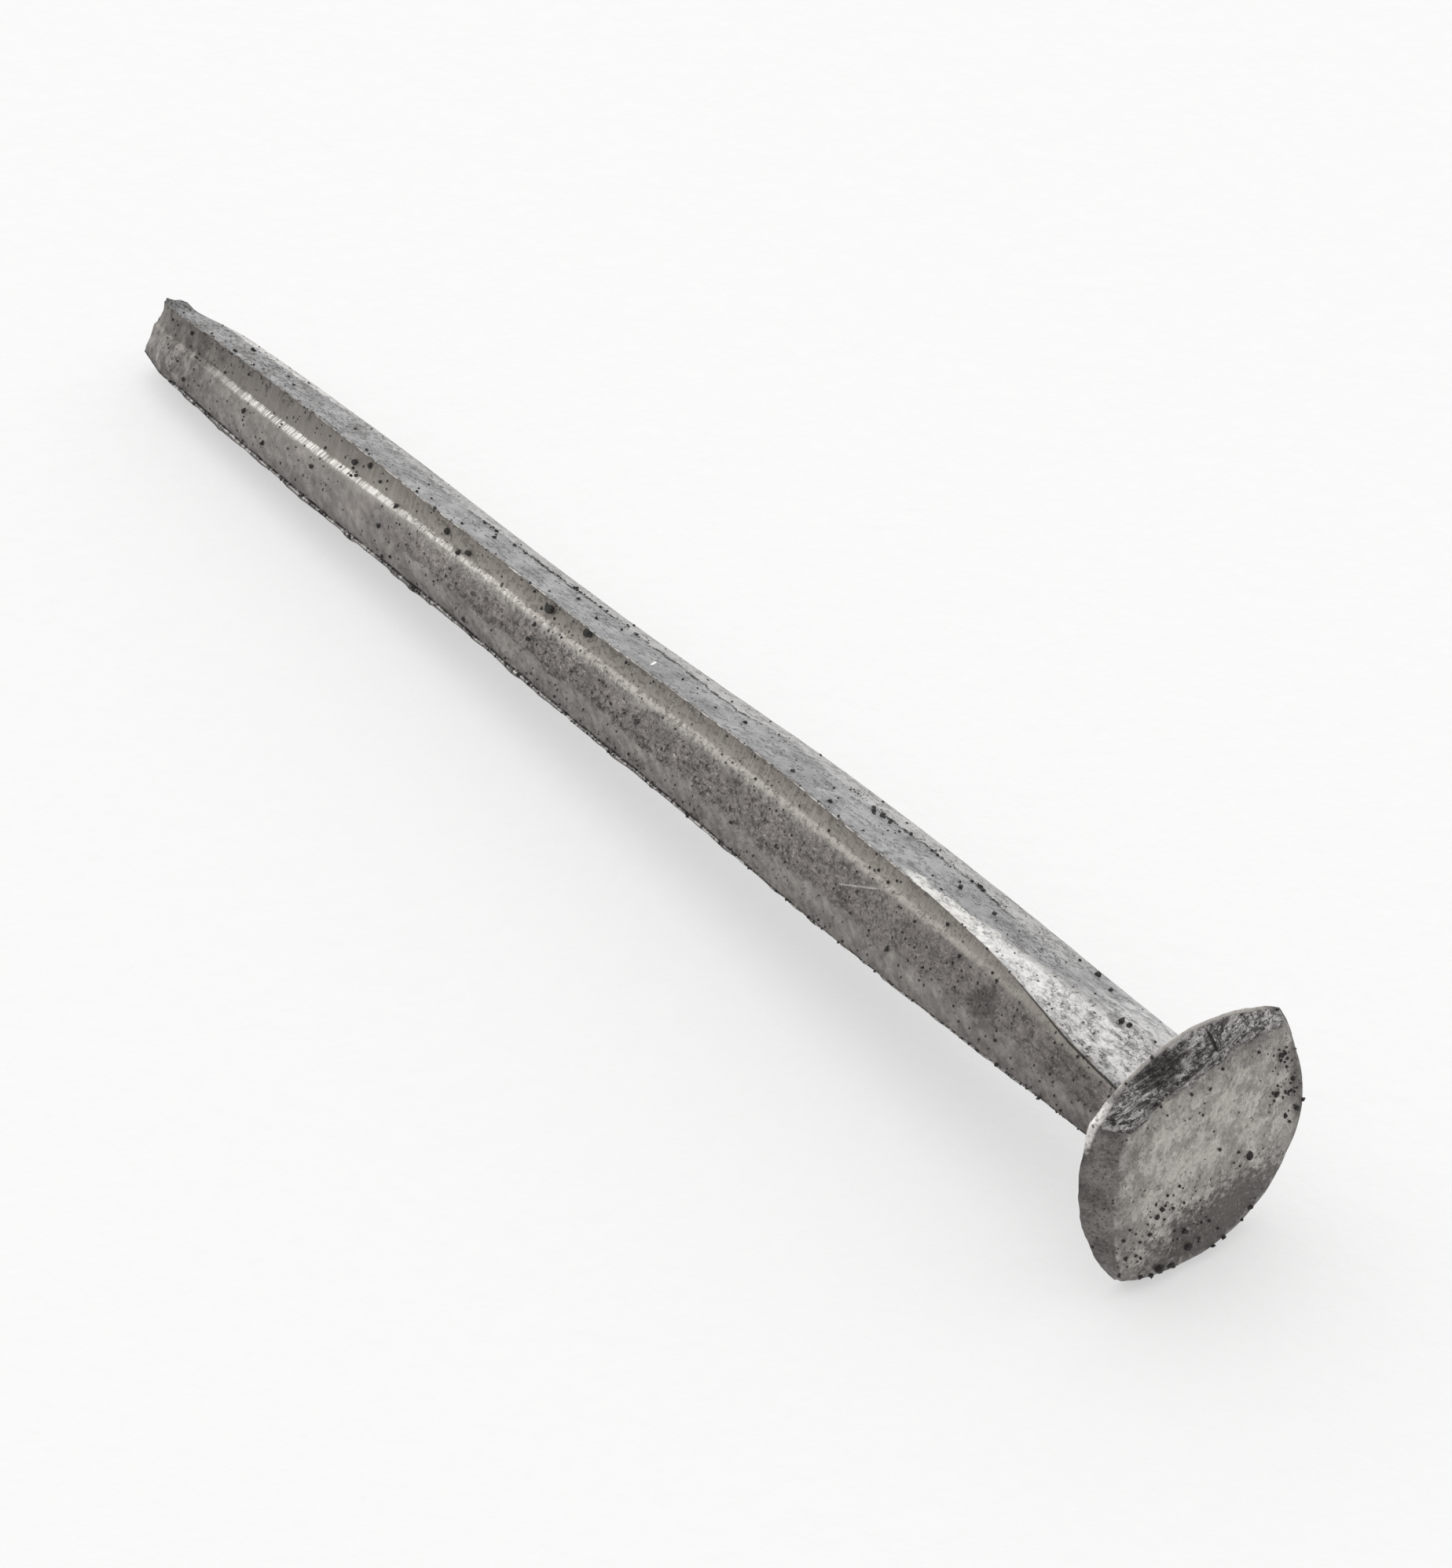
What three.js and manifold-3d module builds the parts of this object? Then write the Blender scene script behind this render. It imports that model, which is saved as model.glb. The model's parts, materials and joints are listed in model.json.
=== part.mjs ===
// A cut spike: a square-shank nail sheared from rolled plate, with a hammered four-sided head.
// It is one piece of steel. It lies down at rest, on one side of its head and one corner of its
// shank, with its head towards +X, +Z up, and its origin under the middle of its bounding box.
//
// The shape is built straight first, with the middle of the strike face at x = 0 and the tip at
// x = -LENGTH. "Across" is the direction across the rolled face of the plate, from the sheared side
// that faces -Y to the sheared side that faces +Y. "Out" is the direction out of the rolled face.
import * as THREE from "three";
import { mergeVertices } from "three/addons/utils/BufferGeometryUtils.js";
import Module from "manifold-3d";

// Driving dimensions in millimetres, angles in degrees.
const LENGTH = 101.6;
const SHANK_ROLL = -30;

// Shank size by distance from the strike face: [distance, width across the plate, plate thickness].
const SHANK_TAPER = [
  [0.9, 6.7, 5.4],
  [12, 6.9, 5.5],
  [24, 7.1, 5.8],
  [35, 6.4, 6.0],
  [50, 5.4, 5.6],
  [66, 4.7, 5.1],
  [84, 4.3, 4.9],
  [95, 3.9, 4.35],
  [99.6, 3.6, 3.85],
  [LENGTH, 2.4, 3.5],
];
const SHANK_STEPS = 48;

// The shank leaves the head a little off its middle, and kinks back towards the axis past mid-length.
const SHANK_OFFSET = { y: 0.34, z: 0.25, left_at_tip: 0.3 };
const KINK = { start: 36, end: 60 };

// Each sheared side: a smooth hollow under the rolled face, a ledge, then a fuller broken face.
// Heights are shares of the side's height, measured down from the rolled face.
const HOLLOW = { at: 0.12, depth: 0.15 };
const LEDGE = { foot: 0.22, crest: 0.32, depth: 0.1, stand: 0.15 };
const BROKEN_FACE = { end: 0.86, stand: 0.12 };
const EDGE_EASE = 0.12;

// The rolled face falls away towards its +Y edge, where the shear dragged it down.
const ROLLOVER = { start: 0.3, drop: 0.2 };

// Two opposite corners of the neck are flattened by the dies that held the shank for heading.
const GRIP = { full: 9, start: 26, across: 3.7, down: 1.85 };

// Head: a rim of even thickness, and four facets that rise from it to a flat strike face.
const RIM_THICKNESS = 0.65;
const FACET_HEIGHT = 1.15;
const HEAD_REST = 7.58;
const POINTS_PER_SIDE = 12;
// Corners as [y, z], anticlockwise seen from +X; bulge is how far the side after the corner bows out.
const RIM_SIDES = [
  { corner: [6.15, 5.95], bulge: 2.2 },
  { corner: [-6.85, 4.3], bulge: 1.35 },
  { corner: [-5.15, -7.1], bulge: 1.0 },
  { corner: [5.0, -6.5], bulge: 1.7 },
];
const STRIKE_SIDES = [
  { corner: [5.1, 5.7], bulge: 1.1 },
  { corner: [-5.2, 4.4], bulge: 1.0 },
  { corner: [-4.9, -6.0], bulge: 0.7 },
  { corner: [3.3, -4.4], bulge: 1.4 },
];

const STEEL = { color: 0x7f7d7d, roughness: 0.5, metalness: 0.85 };

// A closed skin over a list of rings. Every ring is anticlockwise seen from the first ring's side.
function loft(rings) {
  const size = rings[0].length;
  const positions = rings.flat().flatMap((point) => [point.x, point.y, point.z]);
  const index = [];
  for (let i = 0; i + 1 < rings.length; i++) {
    for (let j = 0; j < size; j++) {
      const near = i * size + j;
      const nearNext = i * size + ((j + 1) % size);
      const far = near + size;
      const farNext = nearNext + size;
      index.push(near, far, nearNext, nearNext, far, farNext);
    }
  }
  const capOf = (ring) =>
    THREE.ShapeUtils.triangulateShape(ring.map((point) => new THREE.Vector2(point.y, point.z)), []);
  const last = (rings.length - 1) * size;
  for (const [a, b, c] of capOf(rings[0])) index.push(a, b, c);
  for (const [a, b, c] of capOf(rings.at(-1))) index.push(last + c, last + b, last + a);
  return new THREE.BufferGeometry()
    .setAttribute("position", new THREE.Float32BufferAttribute(positions, 3))
    .setIndex(index);
}

// A closed outline of four circular arcs at a given x.
function bowedOutline(sides, x) {
  const ring = [];
  sides.forEach(({ corner, bulge }, i) => {
    const start = new THREE.Vector2(...corner);
    const end = new THREE.Vector2(...sides[(i + 1) % sides.length].corner);
    const chord = start.distanceTo(end);
    const along = end.clone().sub(start).normalize();
    const outward = new THREE.Vector2(along.y, -along.x);
    const radius = chord ** 2 / (8 * bulge) + bulge / 2;
    const halfAngle = Math.asin(chord / (2 * radius));
    for (let j = 0; j < POINTS_PER_SIDE; j++) {
      const angle = halfAngle * ((2 * j) / POINTS_PER_SIDE - 1);
      const point = start
        .clone()
        .addScaledVector(along, chord / 2 + radius * Math.sin(angle))
        .addScaledVector(outward, radius * (Math.cos(angle) - 1) + bulge);
      ring.push(new THREE.Vector3(x, point.x, point.y));
    }
  });
  return ring;
}

// The rim has a short flat where the head rests.
function rimOutline(x) {
  const ring = bowedOutline(RIM_SIDES, x);
  for (const point of ring) point.z = Math.max(point.z, -HEAD_REST);
  return ring;
}

function headGeometry() {
  return loft([
    bowedOutline(STRIKE_SIDES, 0),
    rimOutline(-FACET_HEIGHT),
    rimOutline(-FACET_HEIGHT - RIM_THICKNESS),
  ]);
}

// One sheared side as [across, out] pairs from the rolled face down, for the side at -across.
function shearedSide(width, thickness, gripDown, gripUp) {
  const top = thickness / 2 - EDGE_EASE - gripDown;
  const bottom = -thickness / 2 + EDGE_EASE + gripUp;
  const fade = 1 - Math.max(gripDown, gripUp) / GRIP.down;
  const at = (share) => top + (bottom - top) * share;
  return [
    [-width / 2, top],
    [-width / 2 + HOLLOW.depth * fade, at(HOLLOW.at)],
    [-width / 2 + LEDGE.depth * fade, at(LEDGE.foot)],
    [-width / 2 - LEDGE.stand * fade, at(LEDGE.crest)],
    [-width / 2 - BROKEN_FACE.stand * fade, at(BROKEN_FACE.end)],
    [-width / 2, bottom],
  ];
}

// The ring of the shank at one distance from the strike face.
function shankRing(distance, width, thickness) {
  const grip = 1 - THREE.MathUtils.smoothstep(distance, GRIP.full, GRIP.start);
  const gripAcross = GRIP.across * grip;
  const gripDown = GRIP.down * grip;
  const sideA = shearedSide(width, thickness, gripDown, 0);
  const sideB = shearedSide(width, thickness, ROLLOVER.drop, gripDown);
  const outline = [
    [width / 2 - EDGE_EASE, thickness / 2 - ROLLOVER.drop],
    [width * (ROLLOVER.start - 0.5 * grip * ROLLOVER.start), thickness / 2],
    [-width / 2 + EDGE_EASE + gripAcross, thickness / 2],
    ...sideA,
    [-width / 2 + EDGE_EASE, -thickness / 2],
    [width / 2 - EDGE_EASE - gripAcross, -thickness / 2],
    ...sideB.reverse().map(([across, out]) => [-across, out]),
  ];
  const kinked = THREE.MathUtils.smoothstep(distance, KINK.start, KINK.end);
  const offset = THREE.MathUtils.lerp(1, SHANK_OFFSET.left_at_tip, kinked);
  const roll = THREE.MathUtils.degToRad(SHANK_ROLL);
  return outline.map(([across, out]) => {
    const y = across * Math.cos(roll) - out * Math.sin(roll) + SHANK_OFFSET.y * offset;
    const z = across * Math.sin(roll) + out * Math.cos(roll) + SHANK_OFFSET.z * offset;
    return new THREE.Vector3(-distance, y, z);
  });
}

function shankGeometry() {
  const taper = new THREE.CatmullRomCurve3(
    SHANK_TAPER.map((row) => new THREE.Vector3(...row)),
  );
  const rows = taper.getPoints(SHANK_STEPS);
  return loft(rows.map(({ x: distance, y: width, z: thickness }) => shankRing(distance, width, thickness)));
}

function asSolid(wasm, geometry) {
  const merged = mergeVertices(geometry, 1e-4);
  const mesh = new wasm.Mesh({
    numProp: 3,
    vertProperties: merged.attributes.position.array,
    triVerts: new Uint32Array(merged.index.array),
  });
  return new wasm.Manifold(mesh);
}

function asGeometry(solid) {
  const mesh = solid.getMesh();
  return new THREE.BufferGeometry()
    .setAttribute("position", new THREE.BufferAttribute(mesh.vertProperties, 3))
    .setIndex(new THREE.BufferAttribute(mesh.triVerts, 1));
}

// The tilt at which the head's lowest edge and the shank both touch the surface under them.
function restTilt(geometry) {
  const position = geometry.getAttribute("position");
  const headX = -FACET_HEIGHT - RIM_THICKNESS;
  let slope = Infinity;
  for (let i = 0; i < position.count; i++) {
    const reach = headX - position.getX(i);
    if (reach > LENGTH / 2) slope = Math.min(slope, (position.getZ(i) + HEAD_REST) / reach);
  }
  return Math.atan(slope);
}

const wasm = await Module();
wasm.setup();

const solid = asSolid(wasm, headGeometry()).add(asSolid(wasm, shankGeometry()));
const geometry = asGeometry(solid);
const spike = new THREE.Mesh(geometry, new THREE.MeshStandardMaterial(STEEL));
spike.name = "spike";
spike.rotation.y = -restTilt(geometry);

const lying = new THREE.Group();
lying.add(spike);
const box = new THREE.Box3().setFromObject(lying, true);
const middle = box.getCenter(new THREE.Vector3());
spike.position.set(-middle.x, -middle.y, -box.min.z);

export default lying;
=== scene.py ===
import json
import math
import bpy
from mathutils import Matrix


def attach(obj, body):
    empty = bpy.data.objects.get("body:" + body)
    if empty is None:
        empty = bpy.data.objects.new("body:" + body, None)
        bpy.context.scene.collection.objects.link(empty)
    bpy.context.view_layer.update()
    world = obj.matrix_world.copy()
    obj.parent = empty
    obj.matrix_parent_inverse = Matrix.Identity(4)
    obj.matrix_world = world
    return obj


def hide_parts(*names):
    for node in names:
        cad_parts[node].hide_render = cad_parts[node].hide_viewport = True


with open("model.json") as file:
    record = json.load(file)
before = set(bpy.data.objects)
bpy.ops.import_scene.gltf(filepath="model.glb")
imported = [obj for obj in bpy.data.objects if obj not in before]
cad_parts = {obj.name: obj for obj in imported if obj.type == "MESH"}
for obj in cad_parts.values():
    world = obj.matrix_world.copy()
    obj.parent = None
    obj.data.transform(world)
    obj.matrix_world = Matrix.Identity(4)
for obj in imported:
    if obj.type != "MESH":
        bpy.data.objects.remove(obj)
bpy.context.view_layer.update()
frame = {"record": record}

# The looks of the cut spike: one dense mesh for its single piece of steel, and the scale grit on it.
#
# The mesh is worked out straight first, in millimetres, with the middle of the strike face at x = 0
# and the tip at x = -LENGTH, and is then laid down on the frame's strike_face mount.
# "Across" is the direction across the rolled face, from the sheared side that faces -Y to the one that
# faces +Y, and "out" is the direction out of the rolled face.
from types import SimpleNamespace

import bpy
import numpy as np
from mathutils import Vector

MM = 0.001

# ---- Driving dimensions, in millimetres and degrees ----

LENGTH = 101.6
SHANK_ROLL = math.radians(-30)

# Shank size by distance from the strike face: distance, width across the plate, plate thickness.
SHANK_TAPER = [
    (0.9, 6.7, 5.4),
    (12, 6.9, 5.5),
    (24, 7.1, 5.8),
    (35, 6.4, 6.0),
    (50, 5.4, 5.6),
    (66, 4.7, 5.1),
    (84, 4.3, 4.9),
    (95, 3.9, 4.35),
    (99.6, 3.6, 3.85),
    (LENGTH, 2.4, 3.5),
]
# The share of the half of the shank towards +Y that is gone at the tip.
TIP_PINCH = 0.45
SHANK_OFFSET = (0.34, 0.25)
OFFSET_LEFT_AT_TIP = 0.3
KINK = (36, 60)

# Sheared side. The ledge's height is a share of the side's height, down from the rolled face.
LEDGE_LINE = [
    (8, 0.36), (12, 0.27), (18, 0.22), (26, 0.21), (44, 0.25), (62, 0.29), (74, 0.33), (86, 0.42), (98, 0.46),
]
# How far a sheared side stands out, by height as a share of the ledge's height: hollow -1, ledge 1.
LEDGE_PROFILE = ([0.0, 0.045, 0.55, 0.88, 1.04, 1.28], [0.0, -0.72, -1.0, -0.86, 0.78, 1.0])
LEDGE_EDGE = 0.88
HOLLOW_DEPTH = 0.17
LEDGE_STAND = 0.15
BROKEN_STAND = 0.12
EDGE_EASE = 0.09
ROLLOVER = {"start": 0.16, "drop": 0.20, "swell": 0.12}
# The strip of the rolled face beyond its long crack stands a little proud: distance, share of the face's
# width from the edge that faces +Y to the crack.
CRACK_LINE = [
    (16, 0.42), (20, 0.36), (24, 0.27), (28, 0.30), (36, 0.33), (41, 0.30), (45, 0.41), (48, 0.40),
    (52, 0.34), (57, 0.29), (62, 0.30), (66, 0.35), (74, 0.36), (80, 0.30),
    (84, 0.12), (87, 0.22), (90, 0.30), (96, 0.27), (99, 0.10),
]
CRACK_STEP = 0.045
# The lip that the shear left along the lower edge: where it starts and is full, its width, its scallops.
LIP = {"start": 34, "full": 42, "width": 0.24, "scallop": 0.14}
# The lip's outline from its groove down: how far each point stands out, its height as a share of the lip's
# width, and its share of the scallops.
LIP_PROFILE = np.array([
    [-0.07, -0.05, 0.03, 0.06, 0.03, 0.02, -0.06],
    [0.95, 0.75, 0.62, 0.42, 0.28, -0.05, -0.15],
    [0.0, 0.0, 0.0, 0.1, 0.3, 1.0, 1.0],
])[:, None]
# The heading dies' flats: distance, how far each reaches across the rolled face, and down the sheared side.
GRIP_FLAT = [
    (1, 4.7, 2.2), (7, 3.9, 1.9), (10, 3.4, 1.6), (12, 2.9, 1.25),
    (17, 2.1, 0.5), (22, 1.4, 0.14), (24, 1.0, 0.05), (26, 0.4, 0.02),
]
GRIP_EASE = 0.03
GRIP_FADE = (9, 26)

RIM_THICKNESS = 0.65
FACET_HEIGHT = 1.15
UNDERSIDE = FACET_HEIGHT + RIM_THICKNESS
HEAD_REST = 7.58
# Corners as (y, z), anticlockwise seen from the head's side, and how far the side after each bows out.
RIM_SIDES = [((6.15, 5.95), 2.35), ((-6.95, 4.65), 1.4), ((-5.45, -7.0), 1.45), ((4.8, -6.4), 1.8)]
STRIKE_SIDES = [((5.45, 6.0), 0.9), ((-5.3, 4.1), 0.8), ((-5.8, -6.2), 1.3), ((4.3, -5.0), 1.7)]
STRIKE_DROOP = [0.45, 0.10, 0.35, 0.30]
# The rim is a thin edge that thickens in three places: the middle of each and its width in degrees, and
# how much it adds.
RIM_EDGE = 0.12
RIM_STEPS = [(143, 15, 0.42), (-95, 40, 0.5), (-10, 40, 0.4)]

# Points round each ring of the mesh, by stretch, and the number of rings and their spacing.
ROUND = {"top": 56, "edge_a": 5, "side_a": 62, "burr": 7, "bottom": 40, "edge_b": 5, "side_b": 40, "roll": 5}
RING_STEP = 0.265
SHANK_RINGS = round((LENGTH - UNDERSIDE) / RING_STEP) + 1
TIP_RINGS = 10
HEAD_RINGS = {"under": 10, "rim": 5, "facet": 14, "strike": 31}
FIRST_FACET_RING = HEAD_RINGS["under"] + HEAD_RINGS["rim"]


# ---- Small maths ----

def smoothstep(x, low, high):
    t = np.clip((x - low) / (high - low), 0, 1)
    return t * t * (3 - 2 * t)


def lerp(a, b, t):
    return a + (b - a) * t


def smooth_rows(rows, x):
    """Values of a table at x, on a smooth curve through its rows. The first column is x."""
    rows = np.array(sorted(rows), float)
    knots, values = rows[:, 0], rows[:, 1:]
    slopes = np.gradient(values, knots, axis=0)
    x = np.clip(x, knots[0], knots[-1])
    i = np.clip(np.searchsorted(knots, x, side="right") - 1, 0, len(knots) - 2)
    span = knots[i + 1] - knots[i]
    t = ((x - knots[i]) / span)[:, None]
    span = span[:, None]
    made = (
        values[i] * (2 * t**3 - 3 * t**2 + 1)
        + values[i + 1] * (3 * t**2 - 2 * t**3)
        + slopes[i] * span * (t**3 - 2 * t**2 + t)
        + slopes[i + 1] * span * (t**3 - t**2)
    )
    return made.T


class Noise:
    """Smooth random values between -1 and 1 in space, the same on each run."""

    SIZE = 48

    def __init__(self, seed):
        self.table = np.random.default_rng(seed).uniform(-1, 1, (self.SIZE,) * 3)

    def at(self, x, y, z=0.0):
        x, y, z = np.broadcast_arrays(*(np.asarray(v, float) for v in (x, y, z)))
        cells = [np.floor(v).astype(int) for v in (x, y, z)]
        parts = [v - c for v, c in zip((x, y, z), cells)]
        parts = [t * t * (3 - 2 * t) for t in parts]
        total = np.zeros(x.shape)
        for corner in np.ndindex(2, 2, 2):
            weight = np.ones(x.shape)
            for t, up in zip(parts, corner):
                weight = weight * (t if up else 1 - t)
            index = tuple((c + up) % self.SIZE for c, up in zip(cells, corner))
            total += weight * self.table[index]
        return total

    def rough(self, x, y, z=0.0, octaves=4):
        total = 0.0
        for k in range(octaves):
            total = total + self.at(x * 2**k + 7 * k, y * 2**k + 3 * k, z * 2**k) / 2**k
        return total / 1.5


# ---- Shank rings ----

class Shank:
    """The shank's rings from the tip to the head, made as stretches that follow each other round it.

    p is a place across the rolled face and q a place out of it. marks are values for the materials."""

    MARKS = ("side", "height", "crest", "ledge", "thread", "beyond")

    def __init__(self):
        self.distance = np.linspace(LENGTH, UNDERSIDE, SHANK_RINGS)
        self.d = d = self.distance[:, None]
        width, thickness = self.along(SHANK_TAPER)
        self.half_width = width / 2
        self.half_thick = thickness / 2
        self.wave = wave = Noise(3)
        self.edge_wave = 0.10 * wave.at(d / 6.5, 0.5) + 0.06 * wave.at(d / 2.3, 4.5)
        self.edge_wave = self.edge_wave + 0.045 * wave.at(d / 0.8, 9.5)
        self.lip = LIP["width"] * (0.15 + 0.85 * smoothstep(d, LIP["start"], LIP["full"]))
        self.lip = self.lip * smoothstep(d, 99, 97)
        self.stretches = []

    def along(self, rows):
        """A table's values at the rings, one array for each of its columns."""
        return smooth_rows(rows, self.distance)[..., None]

    def add(self, p, q, **marks):
        p, q = np.broadcast_arrays(p + 0 * self.d, q + 0 * self.d)
        self.stretches.append((p, q, {k: np.broadcast_to(v, p.shape) for k, v in marks.items()}))

    def edge(self, from_angle, to_angle, points, p, q, **marks):
        """A rounded edge, whose centre is at p, q."""
        angle = np.radians(np.linspace(from_angle, to_angle, points + 2)[1:-1])[None]
        self.add(p + EDGE_EASE * np.cos(angle), q + EDGE_EASE * np.sin(angle), **marks)

    def rolled_face(self):
        """The upper rolled face, from the edge that faces +Y to the edge that faces -Y."""
        d, wave = self.d, self.wave
        t = np.linspace(0, 1, ROUND["top"])[None]
        p = lerp(self.half_width + ROLLOVER["swell"] - EDGE_EASE, -self.half_width + EDGE_EASE, t)
        fall = (0.5 - t - ROLLOVER["start"]) / (0.5 - ROLLOVER["start"])
        q = self.half_thick - ROLLOVER["drop"] * np.clip(fall, 0, 1) ** 1.4
        q = q + 0.035 * wave.at(d / 7, p / 2.2) + 0.012 * wave.at(d / 1.4, p / 0.9, 5)
        fin = smoothstep(d, 100.2, 101.1) * smoothstep(t, 0.10, 0.60)
        q = q + 0.34 * fin * smoothstep(wave.at(d / 0.7, p / 0.6, 2), -1.8, 0.4)
        p = p + self.edge_wave * smoothstep(t, 0.55, 1)
        crack = self.along(CRACK_LINE)[0]
        crack = crack + 0.035 * wave.at(d / 1.3, 50.5) + 0.04 * wave.at(d / 0.55, 53.5)
        beyond = (crack - t) * 2 * self.half_width
        q = q + CRACK_STEP * smoothstep(beyond, -0.06, 0.10) * smoothstep(d, 14, 20) * smoothstep(d, 88, 78)
        self.add(p, q, height=1 - t, beyond=beyond)

    def lower_face(self):
        """The rolled face underneath."""
        t = np.linspace(0, 1, ROUND["bottom"])[None]
        p = lerp(-self.half_width + EDGE_EASE, self.half_width - EDGE_EASE, t)
        q = -self.half_thick - 0.035 * self.wave.at(self.d / 7, p / 2.2, 11)
        self.add(p, q, height=1 - t, beyond=-1.0)

    def sheared(self, points, top, foot, seed):
        """A sheared side: how far it stands out, its q, and its height as a share of the side's and of
        the ledge's, all from the rolled face down."""
        d, wave = self.d, self.wave
        v = np.linspace(0, 1, points)[None]
        q = lerp(top - EDGE_EASE, foot, v)
        ledge = self.along(LEDGE_LINE)[0] + 0.012 * wave.at(d / 5, 20.5)
        stretch = v / ledge
        gentle = lerp(0.45, 1.0, smoothstep(d, 50, 72))
        stretch = np.where(stretch > LEDGE_EDGE, LEDGE_EDGE + (stretch - LEDGE_EDGE) * gentle, stretch)
        stand = LEDGE_STAND * (0.45 + 0.55 * smoothstep(d, 48, 76))
        bulge = np.interp(stretch, *LEDGE_PROFILE)
        bulge = np.where(bulge < 0, bulge * HOLLOW_DEPTH, bulge * stand)
        low = smoothstep(v, 0.74, 1.0)
        bulge = bulge * (1 - low) + low * lerp(BROKEN_STAND, 0.0, smoothstep(v, 0.86, 1.0))
        grip = 1 - smoothstep(d, *GRIP_FADE)
        tip = smoothstep(d, LENGTH - 2.2, LENGTH)
        bulge = bulge * ((1 - 0.8 * grip) * (1 - 0.7 * tip))
        bulge = bulge + 0.05 * wave.at(d / 4.5, v * 2.2 + seed, 7)
        torn = smoothstep(v, ledge + 0.05, ledge + 0.14) * smoothstep(v, 0.86, 0.70)
        bulge = bulge + torn * 0.035 * wave.rough(d / 0.75, q / 0.75 + seed, 3)
        return bulge, q, v, v / ledge

    def near_side(self):
        """The sheared side that faces -Y, from the rolled face down."""
        foot = -self.half_thick + EDGE_EASE + self.lip
        bulge, q, v, ledge = self.sheared(ROUND["side_a"], self.half_thick, foot, 0)
        p = -self.half_width - bulge + self.edge_wave * smoothstep(v, 0.16, 0.0)
        self.add(p, q, side=1.0, height=v, crest=smoothstep(v, 0.025, 0.0), ledge=ledge)

    def burr(self):
        """The near side's lower edge: a groove, a wire of burr below it, and a scalloped lip."""
        d, wave = self.d, self.wave
        stand, rise, share = LIP_PROFILE
        bead = 0.5 + 0.5 * wave.at(d / 0.34, 30.5)
        stand = stand * (0.4 + 1.1 * bead) * (0.35 + 0.65 * self.lip / LIP["width"])
        scallop = LIP["scallop"] * wave.rough(d / 1.9, 33.5, 0, 4) * smoothstep(d, 2, 10)
        wander = 0.05 * wave.at(d / 0.9, 37.5) * (rise > 0) * smoothstep(d, 20, 40)
        q = -self.half_thick + (self.lip + 0.04) * rise - scallop * share + wander
        thread = np.linspace(0.1, 1, ROUND["burr"])[None]
        self.add(-self.half_width - stand, q, side=0.5, height=1.0, thread=thread, beyond=-1.0)

    def far_side(self):
        """The sheared side that faces +Y, from its lower edge up."""
        top = self.half_thick - ROLLOVER["drop"]
        foot = -self.half_thick + EDGE_EASE
        bulge, q, v, ledge = self.sheared(ROUND["side_b"], top, foot, 40)
        p = self.half_width + (bulge + ROLLOVER["swell"] * (1 - v))
        self.add(p[:, ::-1], q[:, ::-1], side=1.0, height=v[:, ::-1], ledge=ledge[:, ::-1])

    def outline(self):
        """p, q and the marks of every ring, from the rolled face's +Y edge round."""
        left, right = -self.half_width + EDGE_EASE, self.half_width - EDGE_EASE
        top, bottom = self.half_thick - EDGE_EASE, -self.half_thick + EDGE_EASE
        self.rolled_face()
        self.edge(90, 180, ROUND["edge_a"], left + self.edge_wave, top,
                  side=0.5, crest=np.array([[0.0, 0.0, 0.2, 1.0, 1.0]]), beyond=-1.0)
        self.near_side()
        self.burr()
        self.lower_face()
        self.edge(270, 360, ROUND["edge_b"], right, bottom, side=0.5, height=1.0, beyond=-1.0)
        self.far_side()
        right = self.half_width + ROLLOVER["swell"] - EDGE_EASE
        top = self.half_thick - ROLLOVER["drop"] - EDGE_EASE
        self.edge(0, 90, ROUND["roll"], right, top, side=0.3, height=1.0, beyond=1.0)

        p = np.concatenate([stretch[0] for stretch in self.stretches], 1)
        q = np.concatenate([stretch[1] for stretch in self.stretches], 1)
        marks = {}
        for name in self.MARKS:
            parts = [made.get(name, np.zeros_like(a)) for a, _, made in self.stretches]
            marks[name] = np.concatenate(parts, 1)
        return p, q, marks

    def press_flats(self, p, q):
        """Presses what stands past the heading dies' two flats back onto them.

        Last comes how far inside a flat each point is: below 0 outside, 1 at the pressed corner."""
        d = self.d
        reach, down = self.along(GRIP_FLAT)
        norm = np.hypot(down, reach)
        dents = 0.02 * self.wave.at(d / 1.8, p / 1.2, 17)
        gripped = d < GRIP_FLAT[-1][0]
        share = np.full(p.shape, -1.0)
        for sign in (-1, 1):
            across, out = sign * down / norm, -sign * reach / norm
            corner_p = sign * self.half_width
            corner_q = -sign * (self.half_thick - down)
            past = (p - corner_p) * across + (q - corner_q) * out - GRIP_EASE + dents
            share = np.maximum(share, (past + GRIP_EASE - dents) / (reach * down / norm))
            pressed = np.where(gripped, np.maximum(past, 0), 0)
            p = p - pressed * across
            q = q - pressed * out
        return p, q, np.where(gripped, np.maximum(share, -1), -1)

    def rings(self):
        """Every ring's points in the straight frame, and a dictionary of the materials' values."""
        d = self.d
        p, q, values = self.outline()
        p = np.where(p > 0, p * (1 - TIP_PINCH * smoothstep(d, 96, LENGTH)), p)
        p, q, values["grip"] = self.press_flats(p, q)
        left = lerp(1, OFFSET_LEFT_AT_TIP, smoothstep(d, *KINK))
        y = p * math.cos(SHANK_ROLL) - q * math.sin(SHANK_ROLL) + SHANK_OFFSET[0] * left
        z = p * math.sin(SHANK_ROLL) + q * math.cos(SHANK_ROLL) + SHANK_OFFSET[1] * left
        end = smoothstep(d, LENGTH - 1.5, LENGTH)
        x = -d + 0.30 * end * self.wave.rough(y / 1.1, z / 1.1, 6, 3) - 0.18 * end
        values["flow"] = np.stack([x, p, q], -1)
        return np.stack([x, y, z], -1), values


# ---- Head rings ----

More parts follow.
